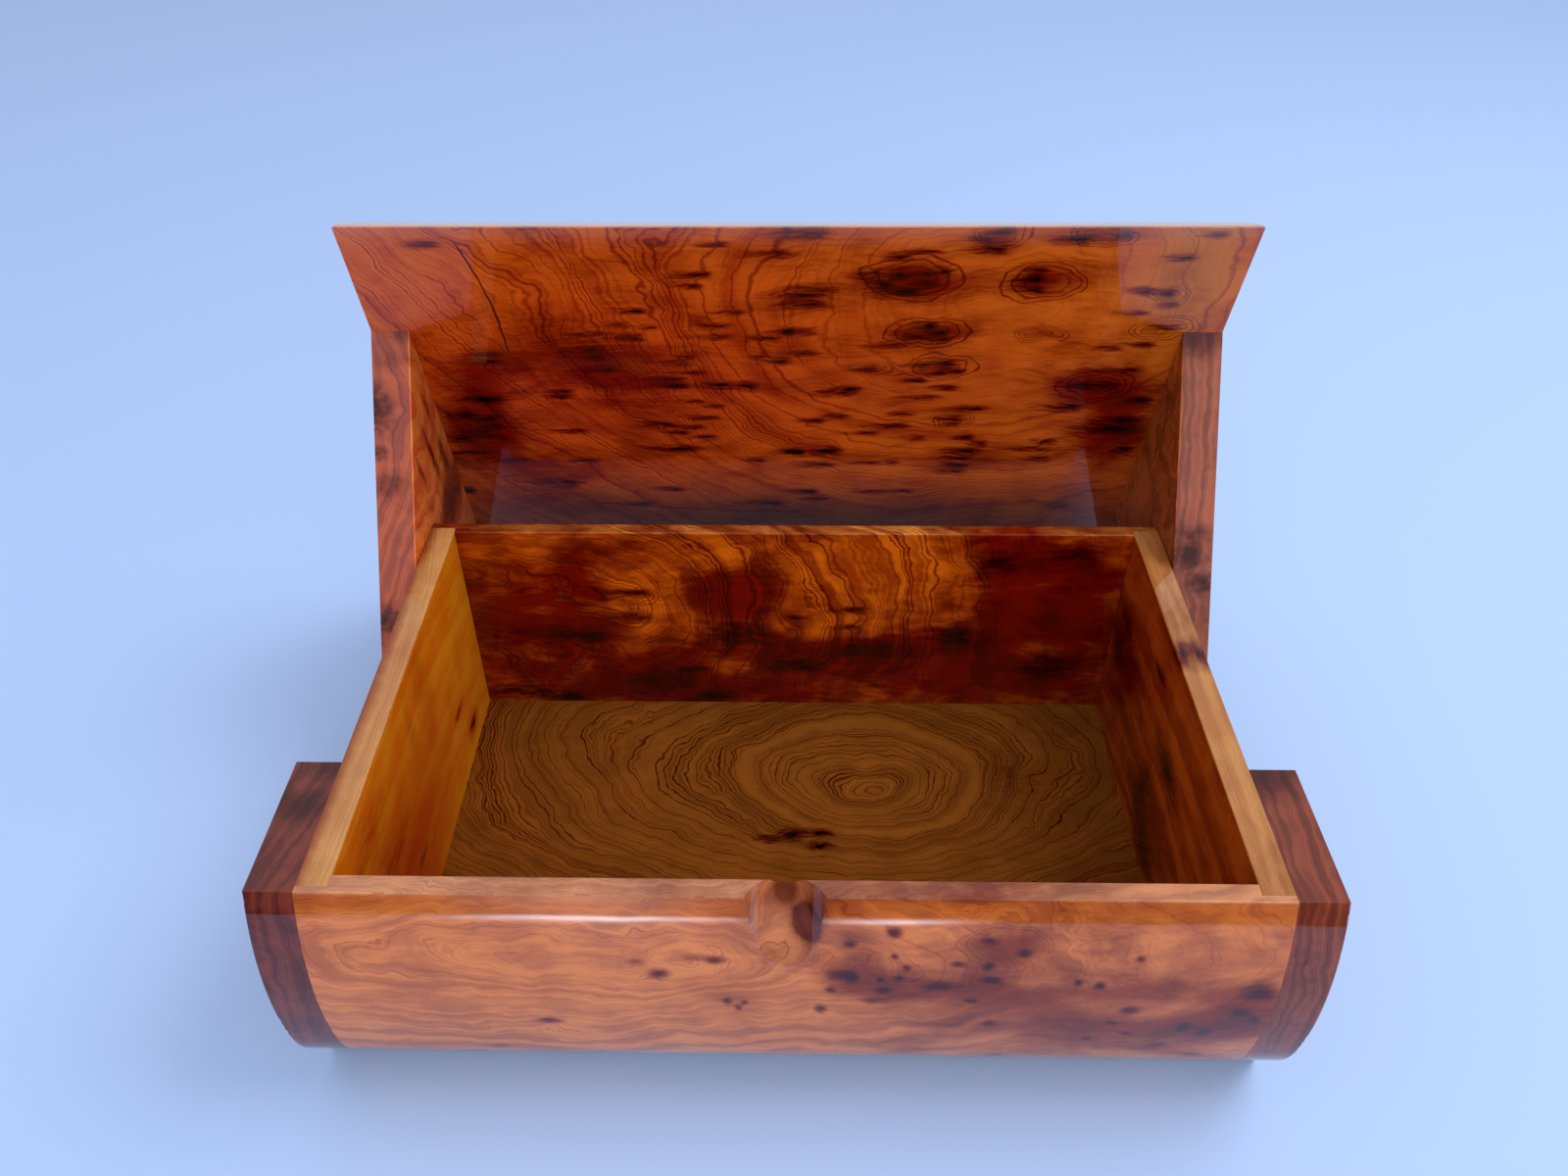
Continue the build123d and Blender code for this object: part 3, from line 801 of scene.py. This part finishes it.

# %% [markdown]
# The front board is paler, and its lines run lengthwise. Loose round eyes and purple smoke gather right of
# the scoop, and one dark patch meets the right seam. The rim of the tray, 94 mm up, has tones of its own.
# The wall of the scoop was carved through the figure, so it takes the tones of the rim above it, and
# painted shade darkens it.

# %% Front board
RIM_FACE = (1, 93.3, 93.9)
FRONT_BOARD = {
    "crown": (-62, 72, 120, 26), "rings": (24, 1.0), "slope": (0.01, 0.08, -0.8),
    "bends": [(50, 16), (14, 5), (4, 0.8)], "blotch": (0.6, 1.2, 0.6),
    "calm": [(100, 60, 40, 60, 0.5)],
    "fibre": (0.05, 0.5, 0.5), "lines": (2.0, 0.45, 0.45), "band": 3.0,
    "ragged": 1.2, "feather": 0.15, "halo": 0.7,
    "colours": ("da7e42", "b46036", "a05c48", "a07070", "b87878"),
    "streak": (0.2, 0.6, 0.3), "redness": 0.0,
    "other_face": (*RIM_FACE, "df9f75", "b87f64"), "hollow": ((-1.7, 94.0, -8.293), 32.7, 13.2),
    "tints_and_shading": [
        # The first tint is a darker, more orange band along the top of the face: a painted reflection of
        # the dark room.
        (0, 91, 400, 4, 1.0, "e6d2ba"), (70, 96, 60, 3, 1.0, "f0dcc8"),
        # These tints darken the scoop and the wood at its right edge in purple and grey: painted shade.
        (4.2, 84.2, 3.0, 3.4, 5.0, "9880a0"), (-1.8, 91.0, 3.0, 3.6, 2.0, "b09a98"),
        (7.0, 89.0, 2.6, 3.2, 1.6, "b89890"), (-12, 88, 4, 5, 0.8, "d0c8d0"),
        (16, 82.5, 6, 2.4, 0.8, "a890a8"),
    ],
    "eyes": [
        (-37, 69, 3.2, 2, 1.1), (-43, 73, 3.2, 1.6, 0.7), (-21, 74, 2.8, 1.6, 1.1), (-27, 75, 4, 1.6, 0.7),
        (-18, 57.5, 1.6, 1.6, 1.1), (-15, 54.5, 1.3, 1.6, 1.0), (-13, 57, 1.2, 1.2, 0.9),
        (-70, 46.5, 4, 1.8, 1.1), (28, 84, 2.4, 1.8, 1.2), (16, 80, 2, 1.4, 1.0),
        (28.5, 76, 1.3, 1.1, 1.0), (32, 72, 1.6, 1.4, 1.1), (25, 67.5, 1.4, 1.3, 1.0),
        (30, 68, 1.6, 1.3, 1.0), (46, 73.5, 2.4, 1.4, 1.0), (54.5, 72.8, 2.1, 1.6, 1.1),
        (64, 77.5, 2.4, 1.6, 1.1), (54, 81.5, 2.4, 1.2, 1.0), (55.5, 67.5, 3.2, 1.6, 1.1),
        (42, 65, 5.6, 2.1, 1.1), (26, 63, 2.8, 1.6, 1.0), (11, 63, 2, 1.6, 1.0), (13, 69, 4, 2, 0.9),
        (17, 68, 2.4, 2.8, 0.9), (23, 58.5, 4, 1.6, 0.8), (51, 59, 2.4, 1.4, 1.1), (8.5, 54.5, 2, 2, 1.2),
        (57, 48, 2.2, 2.2, 1.0), (80, 67, 1.6, 1.4, 1.0), (86, 66, 1.8, 1.8, 1.1), (96, 76, 1.6, 1.3, 1.0),
        (96, 55.5, 3.2, 2.1, 1.1), (92, 49, 2.4, 1.1, 1.0), (86.5, 39.5, 2, 1.8, 0.9),
        (97, 43, 2.4, 1.3, 0.9), (113, 47, 2.4, 2.4, 1.0), (119, 44, 2.8, 2.4, 1.0),
        (108, 36, 3.2, 2.1, 0.9), (127, 55, 3.2, 2.4, 1.0), (131, 64, 5.6, 4, 1.2),
        (132, 51, 2.4, 2.4, 0.9), (62, 24, 3.2, 2.4, 0.9), (-88, 28, 4, 2.4, 0.7), (120, 28, 4, 2.4, 0.8),
    ],
    "hills": [
        (-62, 76, 9, 4.5, 2), (-70, 46, 9, 6, 2), (8, 55, 7, 6, 2), (-17, 57, 9, 7, 2),
        (-40, 71, 10, 6, 2),
    ],
    "ovals": [(59, 80, 11, 5, 1.6)],
    "stains_and_shading": [
        (18, 71, 13, 9, 0.7), (45, 63, 20, 7, 0.65), (100, 46, 40, 5, 0.65), (126, 52, 14, 12, 0.9),
        (60, 60, 60, 30, 0.25), (-45, 72, 9, 6, 0.4), (-18, 57, 8, 6, 0.45), (-13, 35, 8, 5, 0.3),
        (35, 30, 14, 6, 0.3), (105, 66, 20, 5, 0.25), (112, 36, 20, 8, 0.35), (80, 55, 60, 40, 0.4),
        (50, 95, 26, 1.6, 0.6), (-10, 95, 20, 1.6, 0.5), (-60, 95, 30, 3, 0.5), (30, 95, 30, 3, 0.4),
    ],
}
board("front_board", "tray", wood_material("front_burl", False, "front", FRONT_BOARD))

# %% [markdown]
# The back board is the reddest: amber flames between dark clouds, and one dense comb of upright lines. Some
# of its stains have a negative height. They clear a cloud again, which is simpler than drawing a flame.

# %% Back wall
BACK_WALL = {
    "crown": (-62, 58, 60, 70), "rings": (17, 1.0), "slope": (0.03, 0.06, 0.5),
    "bends": [(50, 16), (16, 5), (5, 1.6)], "blotch": (0.8, 1.0, 0.5),
    "hills": [(-150, 75, 60, 25, -25), (-25, 25, 18, 14, 4), (30, 16, 26, 12, 5), (-80, 38, 16, 10, 4)],
    "calm": [(-100, 60, 30, 60, 0.3), (105, 60, 36, 60, 0.9), (0, 10, 150, 20, 0.6)],
    "fibre": (0.1, 0.4, 0.4), "lines": (1.6, 0.6, 0.95), "band": 3.0,
    "tail": 2.0, "ragged": 1.4, "halo": 0.5, "feather": 0.4,
    "colours": ("e06c10", "a43a06", "8c2c18", "902818", "8c3424"),
    "streak": (0.1, 0.4, 0.3), "redness": 0.5,
    "other_face": (*RIM_FACE, "ef9e44", "ac5526"),
    "eyes": [
        (-60, 65, 6, 2, 1.1), (-62, 53.5, 6, 2, 1.1), (25, 57, 5, 1.6, 1.1), (24, 48, 4, 1.5, 0.9),
        (1, 53, 3, 1.5, 1.0), (-80, 43, 5, 3, 1.1), (-40, 25, 5, 2.5, 1.1), (5, 28, 7, 4, 1.2),
        (66, 44, 5, 5, 1.1), (108, 28, 8, 7, 0.9), (79, 80, 5, 5, 1.0), (110, 84, 7, 5, 0.9),
        (-18, 44, 8, 6, 0.9), (-30, 10, 8, 3, 1.0), (-110, 12, 10, 4, 0.9), (-90, 9, 6, 3, 1.1),
        (32, 37, 6, 4, 0.9),
    ],
    "ovals": [(-60, 64, 7, 4, 1), (-61, 53, 7, 4, 1)],
    "stains_and_shading": [
        # The first hill darkens the foot of the wall across its width: painted shade where the wall meets
        # the floor.
        (0, 20, 110, 16, 0.75), (-95, 44, 22, 8, 0.8), (-22, 66, 18, 22, 0.75), (100, 60, 30, 30, 0.75),
        (85, 85, 14, 10, 0.6), (20, 36, 30, 6, 0.8), (-55, 18, 20, 12, 0.6), (66, 40, 26, 8, 0.6),
        (-82, 74, 10, 20, 0.4), (-25, 26, 14, 8, -0.6), (28, 17, 22, 7, -0.6), (98, 38, 10, 4, -0.5),
        (-58, 62, 10, 14, -0.8), (-4, 50, 7, 6, -0.7), (32, 78, 24, 16, -0.8), (-110, 84, 20, 8, -0.2),
        (-22, 84, 16, 10, -0.5), (-118, 66, 34, 30, 0.35), (95, 70, 5, 3, -0.6),
    ],
}
board("back_wall", "tray", wood_material("back_burl", False, "front", BACK_WALL))

# %% [markdown]
# The bottom is golden brown with the calmest figure, wide oval rings like a map of one hill. It shines less
# than the other boards, so its coat is thinner and duller.

# %% Bottom panel
BOTTOM_PANEL = {
    "crown": (30, 118, 100, 56), "rings": (30, 1.0), "slope": (0.02, -0.15, 0.3),
    "bends": [(50, 18), (16, 6), (5, 1.4)], "blotch": (0.6, 0.6, 0.5), "calm": [],
    "fibre": (0.1, 0.3, 0.3), "lines": (2.8, 0.8, 1.0), "band": 3.0, "feather": 0.5, "coat": (0.3, 0.25),
    "colours": ("8c5018", "784412", "984428", "a05040", "40241c"),
    "streak": (0.2, 0.6, 0.3), "redness": -0.2,
    "eyes": [(0, 95, 4, 2.0, 1.3), (-8, 93, 5, 1.4, 0.7), (11, 96, 4, 1.8, 1.3), (11, 89.5, 3.5, 1.6, 1.2)],
    "hills": [(92, 112, 18, 14, 3), (92, 126, 8, 6, 2), (-95, 150, 22, 20, -3)], "ovals": [],
    "stains_and_shading": [(86, 128, 16, 16, 0.5), (3, 93, 20, 6, 0.6), (-110, 125, 14, 14, 0.3)],
}
board("bottom_panel", "tray", wood_material("bottom_burl", False, "flat", BOTTOM_PANEL))

# %% [markdown]
# The side walls are plain straight-grained boards, pale amber on the left and streaked with red on the
# right. A crown far outside the board gives nearly straight lines, so the same recipe does for them.

# %% Side walls
LEFT_WALL = {
    "crown": (80, -200, 300, 300), "rings": (60, 1.0), "slope": (0.01, 0.1, 0.5),
    "bends": [(70, 6), (14, 1.6), (4, 0.5)], "blotch": (0.4, 1.0, 0.6), "calm": [],
    "fibre": (0.03, 0.5, 0.8), "lines": (3.0, 0.5, 0.25), "band": 3.0, "feather": 0.4,
    "tints_and_shading": [
        # The first tint darkens the front and the lower part of the wall: painted shade.
        (50, 30, 70, 58, 1.0, "b46c44"), (100, 80, 8, 30, 0.5, "d08850"),
        (90, 50, -136.2, 400, 400, 3.0, 1.0, "c08868"),
    ],
    "colours": ("ffa81c", "f88410", "b87848", "b85c30", "603c30"),
    "streak": (0.1, 0.7, 0.5), "redness": -0.3,
    "other_face": (*RIM_FACE, "dda867", "c38b51"),
    "eyes": [(140, 18, 5, 3, 1.2), (128, 37, 4, 1.5, 1.0), (64, 30, 4, 1.4, 0.9)],
    "hills": [(76, 32, 20, 10, 2)], "ovals": [],
    # Of the stains, the third darkens the front of the wall, painted shade, and the last, with a negative
    # height, lightens its back, painted light.
    "stains_and_shading": [(82, 75, 6, 20, 0.6), (135, 20, 30, 8, 0.3), (30, 40, 45, 60, 0.9), (100, 70, 30, 50, -0.3)],
}
RIGHT_WALL = dict(LEFT_WALL)
RIGHT_WALL.update({
    "tints_and_shading": [], "hills": [], "other_face": (*RIM_FACE, "c2864b", "ab6e3a"),
    "colours": ("c05410", "902e04", "a05838", "903020", "40201c"), "redness": 0.1,
    "eyes": [
        (82, 57, 6, 4, 1.2), (109, 77, 5, 1.5, 1.0), (152, 63, 5, 2.5, 1.0), (154, 48, 7, 5, 1.1),
        (85, 15, 9, 7, 1.2), (98, 28, 4, 10, 1.0), (100, 94, 5, 2, 1.0),
    ],
    "stains_and_shading": [(85, 28, 28, 14, 0.8), (145, 55, 28, 16, 0.8), (80, 58, 16, 5, 0.6), (150, 25, 30, 20, 0.5)],
})
for side, wall in (("left", LEFT_WALL), ("right", RIGHT_WALL)):
    node = side + "_side_wall"
    board(node, "tray", wood_material(node, False, "side", wall))

# %% [markdown]
# End block and cheek were one dark board, cut on the slant, so both take the same figure in the shut box.
# Here the spots have three coordinates, because the figure of an end is seen on the block's top, front and
# side at once, and a knot has to turn each corner.

# %% Figure of the two ends
LEFT_SIDE = {
    "crown": (66, 74, 60, 60), "rings": (14, 1.0), "slope": (0.03, 0.05, 0.6),
    "bends": [(40, 10), (12, 4), (4, 0.8)], "blotch": (0.7, 1.0, 1.0), "calm": [],
    "fibre": (0.1, 0.3, 0.3), "lines": (1.2, 0.5, 0.4), "band": 2.0, "feather": 0.4,
    "colours": ("7a3629", "5a2420", "8c5040", "9c7c88", "a8a0b8"),
    "streak": (0.2, 0.5, 0.3), "redness": 0.0,
    "eyes": [(65, 73, -150, 6, 5, 5, 1.2), (75.5, 61, -150, 2, 2, 3, 1.1), (113, 14, -148, 4, 4, 4, 1.2)],
    "hills": [(66, 73, -150, 12, 10, 9, 6)], "ovals": [],
    "stains_and_shading": [
        (32, 94, -143, 7, 6, 12, 1.0), (46, 94, -139, 5, 6, 5, 0.8), (4, 68, -143, 10, 18, 20, 1.2),
        (83, 52, -145, 8, 5, 14, 0.6), (55, 86, -145, 3, 3, 12, 0.5), (66, 73, -150, 8, 8, 6, 0.5),
        (124, 80, -137, 12, 18, 3, 1.7), (94, 76, -137, 12, 2, 3, 1.4), (88, 62, -137, 9, 2, 3, 1.2),
        (104, 86, -137, 10, 2.5, 3, 1.2), (78, 86, -137, 9, 2, 3, 1.0),
    ],
}
RIGHT_SIDE = dict(LEFT_SIDE)
RIGHT_SIDE.update({
    "crown": (40, 40, 200, 200), "rings": (10, 1.0), "slope": (0.04, 0.03, 0.95),
    "colours": ("8a422c", "6a2e20", "98604c", "9c7c88", "a8a0b8"),
    "eyes": [(97.5, 34, 141, 5, 4, 5, 1.2), (104, 26, 147, 4, 2, 4, 0.9)],
    "hills": [(104, 26, 147, 6, 5, 7, 4)],
    "stains_and_shading": [
        (44, 94, 140, 10, 12, 10, 0.7), (4, 60, 143, 14, 24, 20, 0.5), (92, 40, 142, 6, 3, 14, 0.6),
        (50, 92, 143, 6, 6, 12, 0.5), (4, 92, 143, 12, 6, 14, -0.6), (112, 15, 143, 8, 8, 14, 0.4),
    ],
})
print("stains on the ends", len(LEFT_SIDE["stains_and_shading"]), "and", len(RIGHT_SIDE["stains_and_shading"]))

# %% [markdown]
# A cheek takes the block's settings with tones of its own. It gets a lighter copy of the block's tones,
# painted light, since the cheek stands in more light than its block. Its inner side, the broad face of the
# same board, has orange tones of its own, and on the left these are brighter again with painted light from
# the window on the right.

# %% End blocks and cheeks
# Lighter copies of the blocks' tones: painted light on the cheeks.
LEFT_CHEEK_LIT_TONES = ("ba5a3a", "984838", "8c5040", "9c7c88", "a8a0b8")
RIGHT_CHEEK_LIT_TONES = ("a65a42", "804634", "8c5040", "9c7c88", "a8a0b8")
# The left inner face is brighter than the right with painted light from the window.
LEFT_INSIDE_LIT = (2, -137.0, -136.6, "ff8c3c", "e8602c")
RIGHT_INSIDE = (2, 137.0, 136.6, "bc5c24", "8c4018")
sides = (("left", LEFT_SIDE, LEFT_CHEEK_LIT_TONES, LEFT_INSIDE_LIT), ("right", RIGHT_SIDE, RIGHT_CHEEK_LIT_TONES, RIGHT_INSIDE))
for side, figure, tones, inside in sides:
    block, cheek = side + "_end_block", side + "_cheek"
    board(block, "tray", wood_material(block, False, "side", figure))
    cheek_figure = dict(figure, colours=tones, other_face=inside)
    board(cheek, "lid", wood_material(cheek, True, "side", cheek_figure))

# %% [markdown]
# Two short dowels in the cheeks stop the open lid. They are pale wood with a thin coat, turned from a plain
# stick, so the side wall's recipe serves with small rings round their own middle.

# %% Dowels
# The dowels keep the left wall's tints, painted shade among them.
DOWEL = dict(
    LEFT_WALL, colours=("b07a4a", "96603a", "a07050", "905040", "60402c"), eyes=[], hills=[], stains_and_shading=[],
    coat=(0.3, 0.3), crown=(0, 0, 20, 20), rings=(8, 1.0),
)
DOWEL.pop("other_face")
dowel_wood = wood_material("dowel_wood", True, "side", DOWEL)
print("dowel settings", sorted(DOWEL))

# %% [markdown]
# The lid turns on two brass pins. Turned brass carries fine marks round its axis, so a noise is squeezed
# hard along the pin and stretched across it, and it moves both the colour and the gloss.

# %% Pins and dowels in place
BRASS_LIGHT = "c9a55c"
BRASS_DEEP = "8f6d33"
TURNING_MARKS = (4000.0, 200.0, 200.0)
MARK_STEP = (0.3, 0.7)
BRASS_ROUGHNESS = (0.22, 0.42)

brass = bpy.data.materials.new("turned_brass")
brass.use_nodes = True
n = Nodes(brass)
place = n.vector("MULTIPLY", n.add("ShaderNodeTexCoord", {}, 3), TURNING_MARKS)
turned = n.noise(place, 1.0, ROUGH)
shader = n.tree.nodes["Principled BSDF"]
n.tree.links.new(n.mix(turned, linear(BRASS_LIGHT), linear(BRASS_DEEP)), shader.inputs["Base Color"])
n.tree.links.new(n.step(turned, *MARK_STEP, *BRASS_ROUGHNESS), shader.inputs["Roughness"])
shader.inputs["Metallic"].default_value = 1.0
for side in ("left", "right"):
    board(side + "_stop_peg", "lid", dowel_wood)
    board(side + "_hinge_pin", "tray", brass)
